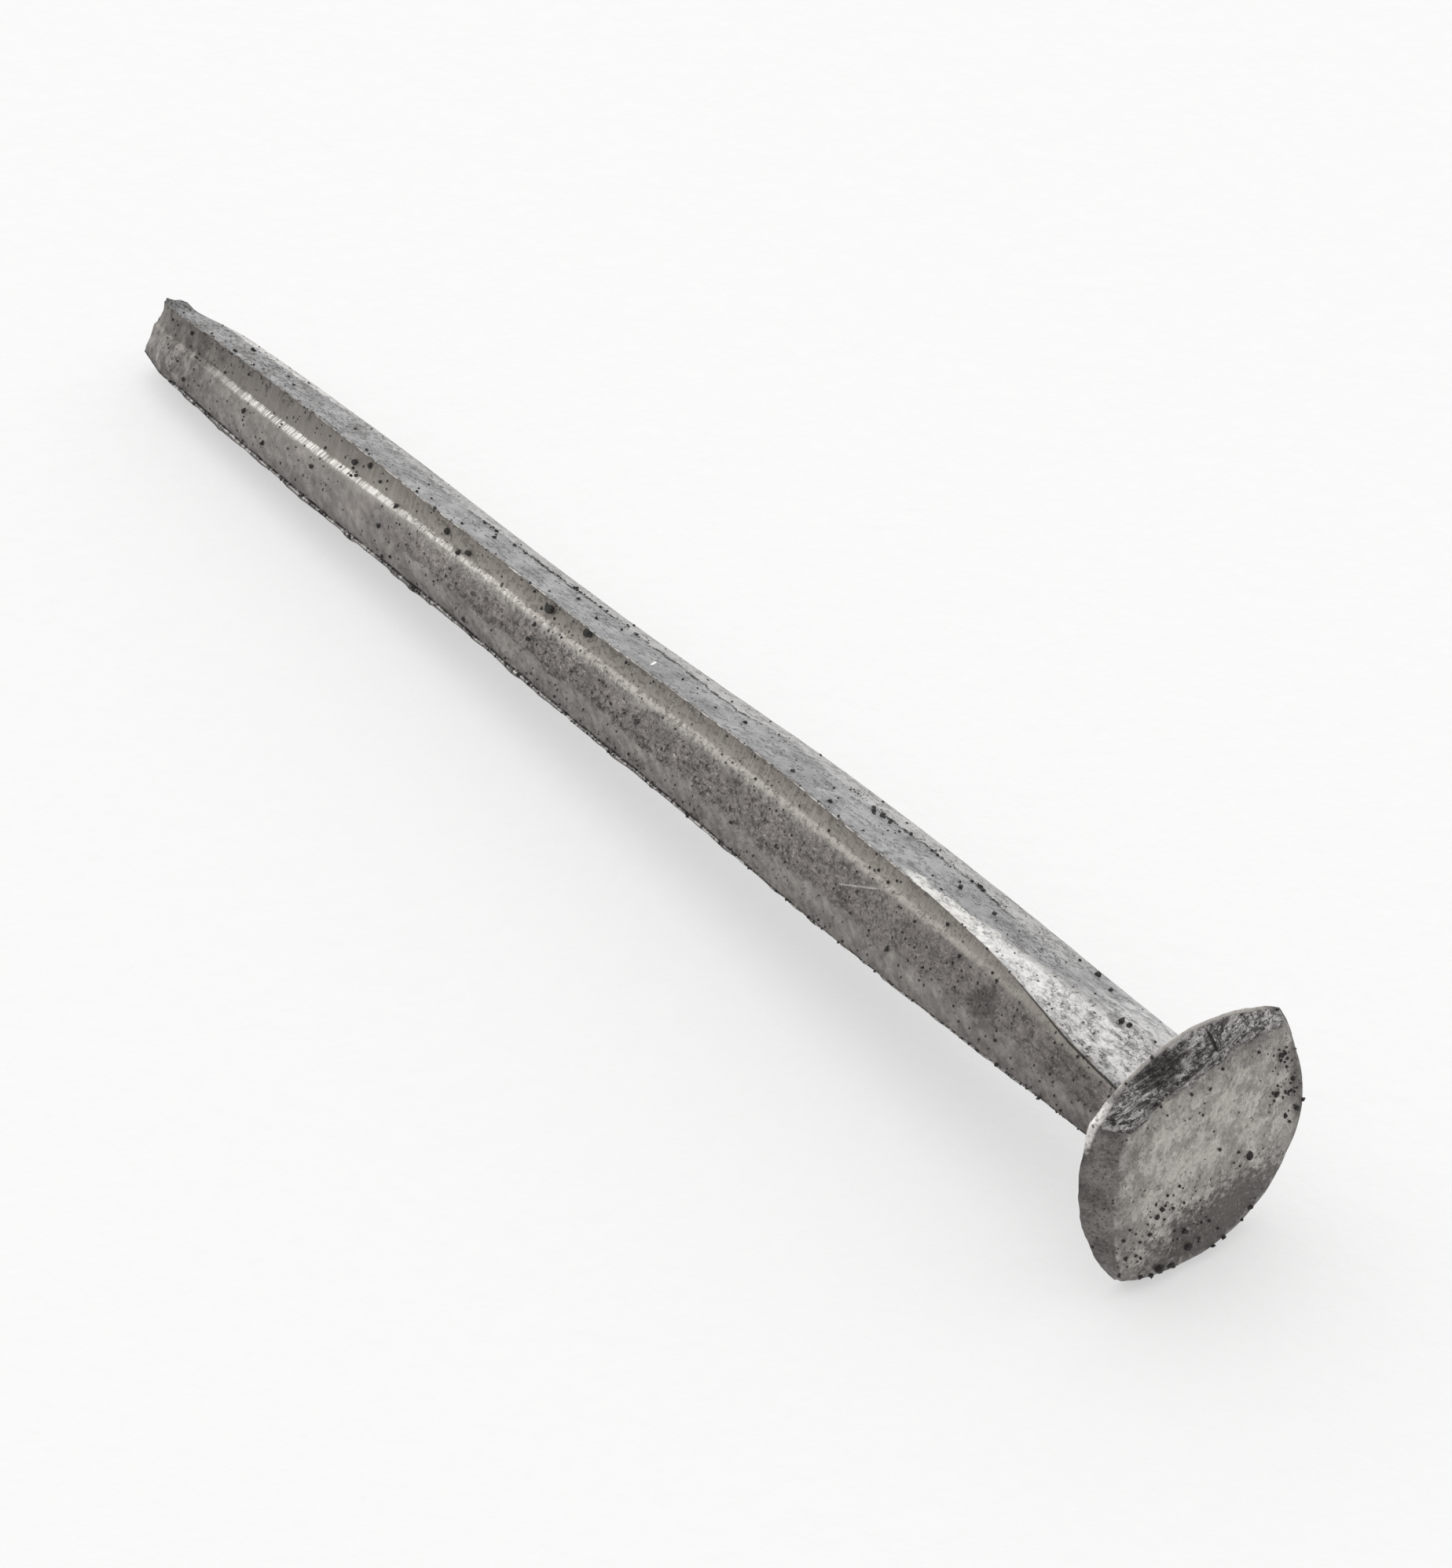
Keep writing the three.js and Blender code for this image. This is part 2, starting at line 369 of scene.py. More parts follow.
def bowed_outline(sides, per_side=400):
    """A closed outline of circular arcs, as (y, z) points."""
    points = []
    for (start, bulge), (end, _) in zip(sides, sides[1:] + sides[:1]):
        start, end = np.array(start), np.array(end)
        chord = np.linalg.norm(end - start)
        along = (end - start) / chord
        outward = np.array([along[1], -along[0]])
        radius = chord**2 / (8 * bulge) + bulge / 2
        half = math.asin(chord / (2 * radius))
        angle = half * (2 * np.arange(per_side) / per_side - 1)
        points.append(
            start
            + along * (chord / 2 + radius * np.sin(angle))[:, None]
            + outward * (radius * (np.cos(angle) - 1) + bulge)[:, None]
        )
    return np.concatenate(points)


def radius_at(sides, angle):
    """How far a bowed outline is from its middle at some angles round it."""
    outline = bowed_outline(sides)
    found = np.arctan2(outline[:, 1], outline[:, 0])
    order = np.argsort(found)
    return np.interp(angle, found[order], np.hypot(*outline.T)[order], period=2 * math.pi)


def polar(radius, angle):
    return np.stack([radius * np.cos(angle), radius * np.sin(angle)], -1)


def wrapped(angle):
    """The same angle between -pi and pi."""
    return np.angle(np.exp(1j * angle))


def corner_angles(sides):
    return np.array([math.atan2(z, y) for (y, z), _ in sides])


def head_angles(neck):
    """An angle round the head for each of the neck's (y, z) points.

    They bunch up at the neck's edges, so they are spread more evenly, with one at each rim corner."""
    angle = np.unwrap(np.arctan2(neck[:, 1], neck[:, 0]))
    even = angle[0] + 2 * math.pi * np.arange(len(angle)) / len(angle)
    angle = lerp(angle, even, 0.6)
    for corner in corner_angles(RIM_SIDES):
        angle[np.argmin(np.abs(wrapped(angle - corner)))] = corner
    return wrapped(angle)


def facet_tops(angle):
    """The angle where each facet point ends on the strike face, and how far the face droops there.

    The strike face's corners line up with the rim's, so that each facet has clean ridges."""
    rim_corners = corner_angles(RIM_SIDES)
    order = np.argsort(rim_corners)
    from_rim = rim_corners[order]
    shift = wrapped(corner_angles(STRIKE_SIDES)[order] - from_rim)
    strike_angle = angle + np.interp(angle, from_rim, shift, period=2 * math.pi)
    droop = np.interp(angle, from_rim, np.array(STRIKE_DROOP)[order], period=2 * math.pi)
    near = np.min(np.abs(wrapped(angle[:, None] - from_rim)), 1)
    return strike_angle, 0.08 + droop * np.exp(-((near / 0.45) ** 2))


def on_upper_facet(angle):
    """Whether each angle is on the facet that comes after the rim's first corner."""
    corners = corner_angles(RIM_SIDES)
    ordered = np.sort(corners)
    side = (np.searchsorted(ordered, wrapped(angle), side="right") - 1) % len(corners)
    return side == int(np.searchsorted(ordered, corners[0]))


def head_rings(neck):
    """Rings from the neck along the underside, over the rim and facets, to the strike face."""
    wave = Noise(11)
    angle = head_angles(neck)
    strike_angle, droop = facet_tops(angle)

    def around(scale, seed):
        return wave.at(scale * np.cos(angle), scale * np.sin(angle), seed)

    radius = radius_at(RIM_SIDES, angle)
    radius = radius + 0.10 * around(2.6, 1.5) + 0.06 * around(8, 2.5) + 0.05 * around(21, 3.5)
    rim = polar(radius, angle)
    rim[:, 1] = np.maximum(rim[:, 1], -HEAD_REST)
    strike = polar(radius_at(STRIKE_SIDES, strike_angle), strike_angle)

    thickness = RIM_EDGE + 0.03 * around(3, 6.5)
    for middle, spread, step in RIM_STEPS:
        off = (np.degrees(angle) - middle + 180) % 360 - 180
        thickness = thickness + step * np.exp(-((off / spread) ** 2))
    top = thickness - UNDERSIDE

    stations = []

    def add(x, plane, **values):
        ring = np.column_stack([np.broadcast_to(x, len(plane)), plane])
        stations.append((ring, {k: np.broadcast_to(v, len(plane)) for k, v in values.items()}))

    def shares(part, end=1):
        return np.linspace(0, end, HEAD_RINGS[part] + 1)[1:]

    for t in shares("under"):
        add(-UNDERSIDE, lerp(neck, rim, t**0.9), under=1.0, spread=t)
    for t in shares("rim"):
        add(lerp(-UNDERSIDE, top, t), rim * (1 + 0.012 * math.sin(math.pi * t)), rim=1.0, spread=1 + t)
    for t in shares("facet"):
        crown = 0.12 * math.sin(math.pi * t)
        add(lerp(top, -droop, t) + crown, lerp(rim, strike, t), facet=1.0, spread=2 + t)
    for t in shares("strike", end=0.97):
        add(-droop * (1 - t) ** 2.5, strike * (1 - t), strike=1.0, spread=3 + t)

    rings = np.stack([ring for ring, _ in stations])
    names = ("under", "rim", "facet", "strike", "spread")
    values = {n: np.stack([v.get(n, np.zeros(len(angle))) for _, v in stations]) for n in names}
    values["forged"] = values["facet"] * on_upper_facet(angle)[None]
    return worn_ridges(rings), values


def worn_ridges(rings):
    """Averages the rings over the facets and the strike face with their neighbours."""
    first = FIRST_FACET_RING + 2
    soft = rings.copy()
    soft[first:-1] = (rings[first - 1:-2] + 2 * rings[first:-1] + rings[first + 1:]) / 4
    return soft


# ---- The mesh ----

def normals_of(grid):
    """Normals of a grid of rings that runs round in its second direction."""
    round_way = np.roll(grid, -1, 1) - np.roll(grid, 1, 1)
    long_way = np.gradient(grid, axis=0)
    n = np.cross(round_way, long_way)
    return n / np.maximum(np.linalg.norm(n, axis=-1, keepdims=True), 1e-9)


def hammer(rings, values):
    """Hammer marks, folds and dents. Takes out the two values that only they need."""
    wave = Noise(23)
    n = normals_of(rings)
    x, y, z = (rings[..., i] for i in range(3))
    forged = values["forged"]
    face = values.pop("strike")
    plain = np.clip(values.pop("facet") - forged, 0, 1)
    fold = 1 - np.abs(wave.rough(y / 2.6 + 0.6 * wave.at(z / 1.5, y / 3, 4), z / 0.7, x / 0.7, 4))
    fold_depth = 0.17 * (fold - 0.75) + 0.05 * wave.rough(y / 0.5, z / 0.5, x / 0.5, 3)
    dent = 0.07 * wave.at(y / 2.8, z / 2.8, 1) + 0.03 * wave.rough(y / 1.0, z / 1.0, 2, 3)
    edge_fade = smoothstep(values["spread"], 2.0, 2.25) * smoothstep(values["spread"], 3.3, 3.0)
    amount = forged * fold_depth * edge_fade + plain * 0.05 * wave.rough(y / 1.6, z / 1.6, x, 3)
    amount = amount + face * dent * smoothstep(values["spread"], 3.0, 3.2)
    amount = amount + values["rim"] * 0.03 * wave.rough(y / 0.8, z / 0.8, x / 0.8, 3)
    return rings + n * amount[..., None]


def caps(ring, steps, pull):
    """Rings that close the blunt tip, from its middle out to the given ring."""
    centre = ring.mean(0)
    shares = np.linspace(0.04, 1, steps + 2)[:-1]
    made = np.stack([lerp(centre, ring, t) for t in shares])
    made[..., 0] += pull * (1 - shares[:, None] ** 4)
    return made


def to_frame(points):
    """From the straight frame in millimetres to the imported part's frame in metres."""
    mount = next(m for m in frame["record"]["mounts"] if m["name"] == "strike_face")
    origin = np.array(mount["pos_m"])
    along = np.array(mount["axis"]) / np.linalg.norm(mount["axis"])
    sideways = np.array([0.0, 1.0, 0.0])
    upward = np.cross(along, sideways)
    return origin + MM * (points @ np.stack([along, sideways, upward]))


def mesh_object(name, points, faces):
    mesh = bpy.data.meshes.new(name)
    mesh.from_pydata(points.tolist(), [], faces)
    mesh.update()
    mesh.shade_smooth()
    made = bpy.data.objects.new(name, mesh)
    bpy.context.scene.collection.objects.link(made)
    return made


def spike_grid():
    """The straight spike as rings from tip to head, and the materials' values at their points."""
    shank, shank_values = Shank().rings()
    head, head_values = head_rings(shank[-1, :, 1:])
    head = hammer(head, head_values)
    tip = caps(shank[0], TIP_RINGS - 1, -0.10)
    values = {"flow": np.concatenate([tip, shank_values.pop("flow"), head])}
    for name in sorted(set(shank_values) | set(head_values)):
        parts = [np.zeros(tip.shape[:2])]
        parts.append(shank_values.get(name, np.zeros(shank.shape[:2])))
        parts.append(head_values.get(name, np.zeros(head.shape[:2])))
        values[name] = np.concatenate(parts)
    values["tip"] = np.zeros(values["side"].shape)
    values["tip"][:TIP_RINGS] = 1
    return np.concatenate([tip, shank, head]), values


def skin(rings, around):
    """The faces over a grid: its quads, and a fan at each end round an extra middle point."""
    here = np.arange(rings * around).reshape(rings, around)
    beside = np.roll(here, -1, 1)
    quads = np.stack([here[:-1], beside[:-1], beside[1:], here[1:]], -1).reshape(-1, 4).tolist()
    first_middle, last_middle = rings * around, rings * around + 1
    fans = [[first_middle, int(beside[0, j]), int(here[0, j])] for j in range(around)]
    fans += [[last_middle, int(here[-1, j]), int(beside[-1, j])] for j in range(around)]
    return quads, fans


def build_spike():
    grid, values = spike_grid()
    rings, around = grid.shape[:2]
    quads, fans = skin(rings, around)
    points = np.vstack([grid.reshape(-1, 3), grid[0].mean(0), grid[-1].mean(0)])
    spike = mesh_object("spike_steel", to_frame(points), quads + fans)

    flow = values.pop("flow").reshape(-1, 3)
    flow = np.vstack([flow, flow[0], flow[-1]]).astype(np.float32)
    attribute = spike.data.attributes.new("flow", "FLOAT_VECTOR", "POINT")
    attribute.data.foreach_set("vector", flow.reshape(-1))
    for name, value in values.items():
        flat = np.concatenate([value.reshape(-1), [value[0].mean(), value[-1].mean()]])
        attribute = spike.data.attributes.new(name, "FLOAT", "POINT")
        attribute.data.foreach_set("value", flat.astype(np.float32))

    head_faces = np.zeros(len(quads) + len(fans), np.int32)
    head_faces[(TIP_RINGS + SHANK_RINGS - 1) * around: len(quads)] = 1
    head_faces[len(quads) + around:] = 1
    spike.data.materials.append(shank_material())
    spike.data.materials.append(head_material())
    spike.data.polygons.foreach_set("material_index", head_faces)
    return spike, grid


def on_shank(grid, normals, distance, column):
    """The shank's point and normal nearest a distance from the strike face."""
    shank = grid[TIP_RINGS:TIP_RINGS + SHANK_RINGS]
    row = TIP_RINGS + int(np.argmin(np.abs(-shank[:, column, 0] - distance)))
    return grid[row, column], normals[row, column]


def on_head(grid, normals, y, z):
    """The head's point and normal that show at y, z from its front."""
    first = TIP_RINGS + SHANK_RINGS + FIRST_FACET_RING - 1
    away = np.hypot(grid[first:, :, 1] - y, grid[first:, :, 2] - z)
    row, column = np.unravel_index(np.argmin(away), away.shape)
    return grid[first + row, column], normals[first + row, column]


# ---- Scale grit ----

# Grains big enough to see one by one. On the sheared side that faces -Y: distance from the strike face,
# share of the side's height from the top, and size in millimetres.
SIDE_GRAINS = [
    (59.7, 0.11, 0.62), (56.2, 0.05, 0.58), (70.4, 0.16, 0.46), (68.0, 0.20, 0.42), (68.9, 0.28, 0.36),
    (78.6, 0.11, 0.36), (79.9, 0.20, 0.40), (77.2, 0.18, 0.24), (79.3, 0.33, 0.28), (75.2, 0.32, 0.32),
    (83.0, 0.60, 0.32), (75.7, 0.66, 0.34), (87.9, 0.80, 0.32), (90.5, 0.60, 0.36), (60.2, 0.38, 0.30),
    (60.2, 0.57, 0.34), (24.3, 0.74, 0.36), (19.2, 0.32, 0.26), (27.4, 0.15, 0.22), (26.5, 0.18, 0.22),
    (97.7, 0.14, 0.30), (96.6, 0.85, 0.26), (66.0, 0.93, 0.26), (21.0, 0.14, 0.24), (16.2, 0.26, 0.20),
]
# On the rolled face: distance, share of its width from the +Y side, size.
TOP_GRAINS = [
    (32.6, 0.38, 0.36), (32.1, 0.35, 0.34), (33.1, 0.42, 0.30), (33.5, 0.34, 0.26), (31.6, 0.41, 0.24),
    (32.8, 0.46, 0.22),
    (24.1, 0.55, 0.34), (21.1, 0.53, 0.28), (14.9, 0.14, 0.44), (12.9, 0.22, 0.30),
    (9.5, 0.54, 0.40), (9.0, 0.52, 0.34), (33.9, 0.86, 0.30), (60.3, 0.50, 0.26), (57.7, 0.65, 0.26),
    (43.9, 0.58, 0.28), (37.5, 0.84, 0.34), (68.2, 0.60, 0.30), (94.1, 0.47, 0.34), (93.6, 0.92, 0.30),
]
# On the head: y, z and size.
HEAD_GRAINS = [
    (2.8, -1.5, 0.50), (4.8, 1.8, 0.40), (5.4, 0.0, 0.26), (6.2, 0.1, 0.36), (-1.5, -5.9, 0.50),
    (-1.7, -4.5, 0.36), (3.1, -5.7, 0.34), (-3.5, -6.6, 0.55), (-2.6, -6.7, 0.40), (3.7, 5.1, 0.22),
    (5.4, 4.1, 0.32), (5.9, 2.2, 0.30), (5.8, 1.5, 0.26), (-3.3, -2.1, 0.34), (-3.6, -2.5, 0.30),
    (-4.1, -3.5, 0.28), (-5.6, -4.6, 0.28), (-1.3, 4.9, 0.22), (-6.0, 4.8, 0.26), (0.9, 5.6, 0.22),
    (-4.5, -6.5, 0.30), (-3.9, -6.8, 0.34), (0.2, -6.8, 0.28), (0.9, -6.7, 0.30), (2.6, -6.2, 0.26),
    (-5.9, -5.8, 0.30), (6.6, 0.3, 0.30),
]
# Drifts of finer dust on the head: y, z, how far each spreads, and its number of grains.
HEAD_DUST = [
    (5.4, 3.6, 0.5, 26), (5.8, 1.9, 0.4, 24), (5.9, 0.0, 0.3, 6), (-3.2, -2.3, 0.6, 14),
    (-4.8, -4.2, 0.8, 12), (-1.5, -5.0, 0.7, 12), (-5.7, -2.9, 0.4, 6), (4.7, 1.8, 0.2, 5),
    (-2.6, 5.2, 1.2, 16), (0.0, -1.0, 4.0, 44),
]
SIDE_DUST, TOP_DUST, CRACK_DUST, EDGE_DUST = 330, 200, 110, 90
# Stretches of the long crack that hold crumbs of scale, by distance from the strike face.
CRUMBLING = [(22, 36), (55, 71)]


def grain_mesh(size, place, normal, noise, number):
    """An angular lump of scale, a small ball pushed about by noise, as points and triangles."""
    steps, turns = 4, 6
    lat = np.linspace(0, math.pi, steps + 1)[1:-1]
    lon = np.arange(turns) * 2 * math.pi / turns
    ball = [[0, 0, 1]]
    ball += [[math.sin(a) * math.cos(b), math.sin(a) * math.sin(b), math.cos(a)] for a in lat for b in lon]
    ball += [[0, 0, -1]]
    ball = np.array(ball)
    push = 1 + 0.6 * noise.at(ball[:, 0] * 1.6 + number * 3.1, ball[:, 1] * 1.6, ball[:, 2] * 1.6)
    ball = ball * push[:, None] * size / 2
    up = normal / np.linalg.norm(normal)
    first = np.cross(up, [0.3, 0.5, 0.8])
    first /= np.linalg.norm(first)
    second = np.cross(up, first)
    points = place + ball @ np.stack([first, second, up * 0.8])
    faces = []
    last = len(ball) - 1
    for j in range(turns):
        k = (j + 1) % turns
        faces.append([0, 1 + j, 1 + k])
        for i in range(steps - 2):
            a, b = 1 + i * turns, 1 + (i + 1) * turns
            faces.append([a + j, b + j, b + k])
            faces.append([a + j, b + k, a + k])
        a = 1 + (steps - 2) * turns
        faces.append([a + j, last, a + k])
    return points, faces


def grain_spots(grid):
    """Place, normal and size of each grain: the listed ones, then a scatter of dust."""
    normals = normals_of(grid)
    draw = np.random.default_rng(5)
    side_start = ROUND["top"] + ROUND["edge_a"]
    side_end = side_start + ROUND["side_a"]
    spots = []

    def add_to_shank(distance, column, size):
        spots.append((*on_shank(grid, normals, distance, column), size))

    def dust_size(least, spread, power):
        return least + spread * draw.random() ** power

    for distance, share, size in SIDE_GRAINS:
        add_to_shank(distance, side_start + int(share * ROUND["side_a"]), size)
    for distance, share, size in TOP_GRAINS:
        add_to_shank(distance, int(share * ROUND["top"]), size)
    for y, z, size in HEAD_GRAINS:
        spots.append((*on_head(grid, normals, y, z), size))
    for count, first, end in ((SIDE_DUST, side_start, side_end), (TOP_DUST, 2, side_start)):
        for _ in range(count):
            column = int(draw.integers(first, end))
            add_to_shank(draw.uniform(4, 100), column, dust_size(0.06, 0.16, 3))
    for _ in range(CRACK_DUST):
        distance = draw.choice([draw.uniform(*stretch) for stretch in CRUMBLING])
        share = smooth_rows(CRACK_LINE, [distance])[0][0] + 0.02 * draw.normal()
        add_to_shank(distance, int(share * ROUND["top"]), dust_size(0.07, 0.17, 2))
    for _ in range(EDGE_DUST):
        add_to_shank(draw.uniform(4, 98), side_end + ROUND["burr"] // 2, dust_size(0.08, 0.18, 2))
    for y, z, reach, count in HEAD_DUST:
        for _ in range(count):
            place = on_head(grid, normals, y + reach * draw.normal(), z + reach * draw.normal())
            spots.append((*place, dust_size(0.06, 0.17, 2)))
    return spots


def build_grit(grid):
    noise = Noise(71)
    points, faces = [], []
    for number, (place, normal, size) in enumerate(grain_spots(grid)):
        p, f = grain_mesh(size, place + normal * size * 0.10, normal, noise, number)
        faces += [[i + len(points) for i in face] for face in f]
        points += p.tolist()
    grit = mesh_object("scale_grit", to_frame(np.array(points)), faces)
    grit.data.shade_flat()
    grit.data.materials.append(grit_material())
    return grit


# ---- Materials ----

def tone(red, green, blue):
    """A screen colour, from 0 to 255, as the linear colour that shaders use."""
    return (*(((c / 255 + 0.055) / 1.055) ** 2.4 for c in (red, green, blue)), 1)


AXES = {"X": (1, 0, 0), "Y": (0, 1, 0), "Z": (0, 0, 1)}


class Field:
    """A number or colour that a node graph works out all over a surface."""

    def __init__(self, tree, socket):
        self.tree = tree
        self.socket = socket

    def math(self, operation, *others):
        return node(self.tree, "Math", [self, *others], operation=operation)

    def __add__(self, other):
        return self.math("ADD", other)

    def __sub__(self, other):
        return self.math("SUBTRACT", other)

    def __mul__(self, other):
        return self.math("MULTIPLY", other)

    def __rsub__(self, other):
        return self.math("MULTIPLY_ADD", -1, other)

    __radd__ = __add__
    __rmul__ = __mul__

    def step(self, low, high):
        """0 below low and 1 above high, or the other way where high is the lower."""
        if high < low:
            return 1 - self.step(high, low)
        return node(self.tree, "MapRange", [self, low, high], interpolation_type="SMOOTHSTEP")


def node(tree, kind, inputs, output=0, **settings):
    made = tree.nodes.new("ShaderNode" + kind)
    for key, value in settings.items():
        setattr(made, key, value)
    pairs = inputs.items() if isinstance(inputs, dict) else enumerate(inputs)
    for key, value in pairs:
        if isinstance(value, Field):
            tree.links.new(value.socket, made.inputs[key])
        else:
            made.inputs[key].default_value = value
    return Field(tree, made.outputs[output]) if made.outputs else None


class Graph:
    """One material's node graph, with short forms for its nodes."""

    def __init__(self, name):
        self.material = bpy.data.materials.new(name)
        self.material.use_nodes = True
        self.tree = self.material.node_tree
        self.tree.nodes.clear()

    def mark(self, name):
        """A value stored on the mesh's points."""
        return node(self.tree, "Attribute", {}, output="Fac", attribute_name=name)

    def flow(self, turn, axis, centre=(0, 0, 0)):
        """The mesh's stored place, in millimetres, turned by some degrees about a centre.

        It is (along, across, out) on the shank and (along, y, z) on the head."""
        made = node(self.tree, "Attribute", {}, output="Vector", attribute_name="flow")
        if turn:
            about = {"Vector": made, "Center": centre, "Axis": AXES[axis], "Angle": math.radians(turn)}
            made = node(self.tree, "VectorRotate", about, rotation_type="AXIS_ANGLE")
        return made

    def place(self, scale, seed=0, turn=0, axis="Y"):
        offset = (seed * 1.7, seed * 2.3, seed * 3.1)
        return node(self.tree, "VectorMath", [self.flow(turn, axis), scale, offset], operation="MULTIPLY_ADD")

    def noise(self, scale, seed=0, detail=3, rough=0.55, warp=0, turn=0, axis="Y"):
        """Cloudy noise from about 0.2 to 0.8, whose grains are about 1 / scale millimetres."""
        scale = scale if isinstance(scale, tuple) else (scale,) * 3
        return node(self.tree, "TexNoise", {
            "Vector": self.place(scale, seed, turn, axis),
            "Scale": 1, "Detail": detail, "Roughness": rough, "Distortion": warp,
        })

    def spot(self, centre, radii, seed=0, ragged=0.5, turn=0, axis="Y"):
        """1 inside an ellipsoid with a ragged soft edge, 0 outside it."""
        shrink = tuple(1 / r for r in radii)
        offset = tuple(-c / r for c, r in zip(centre, radii))
        place = [self.flow(turn, axis, centre), shrink, offset]
        local = node(self.tree, "VectorMath", place, operation="MULTIPLY_ADD")
        reach = node(self.tree, "VectorMath", [local], output="Value", operation="LENGTH")
        return (reach + (self.noise(2.2, seed, detail=4, rough=0.65) - 0.5) * ragged * 2).step(1.15, 0.6)

    def cells(self, scale, seed, output):
        inputs = {"Vector": self.place((scale,) * 3, seed), "Scale": 1, "Randomness": 1}
        return node(self.tree, "TexVoronoi", inputs, output=output, feature="F1")

    def specks(self, scale, seed, share, size):
        """Scattered dots: share is how many of the cells hold one, size its reach in cells."""
        distance = self.cells(scale, seed, "Distance")
        pick = node(self.tree, "SeparateColor", [self.cells(scale, seed, "Color")])
        ragged = distance + (self.noise(scale * 3, seed) - 0.5) * 0.5
        return ragged.step(size, size * 0.6) * pick.step(1 - share, 1 - share + 0.02)

    def lines(self, scale, seed, width, **more):
        """Thin wandering lines, such as cracks, along one level of cloudy noise."""
        return (self.noise(scale, seed, **more) - 0.5).math("ABSOLUTE").step(width, width * 0.3)

    def mix(self, factor, a, b):
        return node(self.tree, "Mix", {0: factor, 6: a, 7: b}, output=2, data_type="RGBA")

    def over(self, colour, *layers):
        """The colour with others laid over it in turn, each given as (how strongly, colour)."""
        for strength, laid in layers:
            colour = self.mix(strength, colour, laid)
        return colour

    def scaled(self, colour, factor):
        return node(self.tree, "VectorMath", {0: colour, 3: factor}, operation="SCALE")

    def finish(self, colour, roughness, height, metallic, glow=0):
        """Ends the graph with its shader. height is in millimetres."""
        bump = node(self.tree, "Bump", {"Height": height, "Distance": MM}, output="Normal")
        shader = node(self.tree, "BsdfPrincipled", {
            "Base Color": colour, "Roughness": roughness, "Metallic": metallic, "Normal": bump,
            "Emission Color": (1, 1, 1, 1), "Emission Strength": glow,
        })
        node(self.tree, "OutputMaterial", {"Surface": shader})
        return self.material


def shank_fields(g):
    """What the shank's colours share. past is a step by distance from the strike face."""
    s = SimpleNamespace()
    s.side = g.mark("side")
    s.height = g.mark("height")
    s.ledge = g.mark("ledge")
    s.grip = g.mark("grip")
    s.past = node(g.tree, "SeparateXYZ", [g.place((-1, 1, 1))]).step
    s.rolled = s.side.step(0.65, 0.35)
    s.tipward = s.past(70, 92)
    s.neckward = s.past(16, 6)
    s.clouds = g.noise(0.45, 1, detail=5)
    s.mottle = g.noise(1.6, 4, detail=5, rough=0.65)
    s.grain = g.noise(6, 2, detail=5, rough=0.7)
    s.patches = g.noise(0.8, 5, detail=4, rough=0.6)
    s.streaks = g.noise((11, 0.5, 0.5), 31, detail=4, rough=0.65)
    s.torn_pits = g.noise((2.4, 2.4, 3.2), 33, detail=7, rough=0.76).step(0.53, 0.62)
    s.middle = s.past(78, 70) * (s.past(20, 40) * 0.5 + 0.5)
    s.below = s.ledge.step(1.10, 1.30)
    return s


def long_crack(g, s):
    """The rolled face's long crack, and the strip beyond it, each 1 where it is."""
    beyond = g.mark("beyond") + (g.noise((1.3, 1, 1), 12, detail=7, rough=0.72) - 0.5) * 0.6
    beyond = beyond + (g.noise((3.6, 1.6, 1.6), 11, detail=5, rough=0.75) - 0.5) * 0.9
    strip = beyond.step(-0.04, 0.06) * s.rolled * s.past(12, 20)
    gaps = g.noise((0.3, 0.6, 0.6), 14, detail=4, rough=0.7).step(0.42, 0.50)
    crack = (beyond.math("ABSOLUTE") - s.mottle * 0.5 + 0.22).step(0.07, 0.01) * gaps * s.rolled
    near_head = s.past(20, 23) * s.past(37, 33)
    far_half = s.past(41, 44) * s.past(74, 68)
    return crack * near_head.math("MAXIMUM", far_half), strip


def rolled_colour(g, s):
    """Grey rolled scale, paler beyond the long crack, and rough towards the tip."""
    s.crack, strip = long_crack(g, s)
    s.marks = g.noise((3.2, 4.6, 4.6), 15, detail=6, rough=0.76).step(0.55, 0.66)
    s.veins = g.lines((1, 1.5, 1.5), 17, 0.024, detail=7, rough=0.74) * s.patches.step(0.44, 0.56)
    glints = g.noise((4.2, 5.4, 5.4), 16, detail=5, rough=0.76).step(0.58, 0.68)
    rust = g.noise((0.7, 1.1, 1.1), 18, detail=7, rough=0.74).step(0.50, 0.60) * s.tipward
    tip_strip = strip * s.past(84, 88) * s.past(100, 97)
    chipped = g.spot((-86, -1.6, 2.3), (1.3, 0.7, 1), 53, ragged=0.8) * glints
    flakes = g.spot((-32.4, 1, 2.9), (0.9, 0.6, 1), 50, ragged=1)
    flakes = flakes.math("MAXIMUM", g.spot((-16.4, -0.2, 2.9), (1.5, 1, 1), 51, ragged=1.2))

    return g.over(
        g.mix(s.clouds.step(0.36, 0.64), SCALE_DARK, SCALE_PALE),
        (strip * 0.75, SCALE_WORN),
        (s.marks * (s.tipward * 0.30 + 0.60), SCALE_PIT),
        (s.veins * 0.9, SCALE_PIT),
        (glints * (strip * 0.3 + 0.35), PALE_WEAR_AND_HIGHLIGHT),
        (rust * 0.75, TIP_BROWN),
        (tip_strip * 0.55, PALE_WEAR_AND_HIGHLIGHT),
        (chipped, LEDGE_BRIGHT),
        (flakes * s.marks.math("MAXIMUM", s.veins) * 0.9, BLACK_GRIT_AND_SHADE),
    )


def hollow_colour(g, s):
    """The burnished hollow under the rolled face, with fine streaks across it; painted shade darkens it just
    under the rolled face's edge, fading towards the ledge.
    """
    return g.over(
        # Painted shade: darker just under the rolled face's edge, paler towards the ledge.
        g.mix(s.ledge.step(0.05, 0.85), HOLLOW_SHADED, HOLLOW_PALE),
        (s.streaks.step(0.40, 0.66) * 0.25, LEDGE_PALE),
        (s.tipward * 0.5, TORN_DARK),
    )


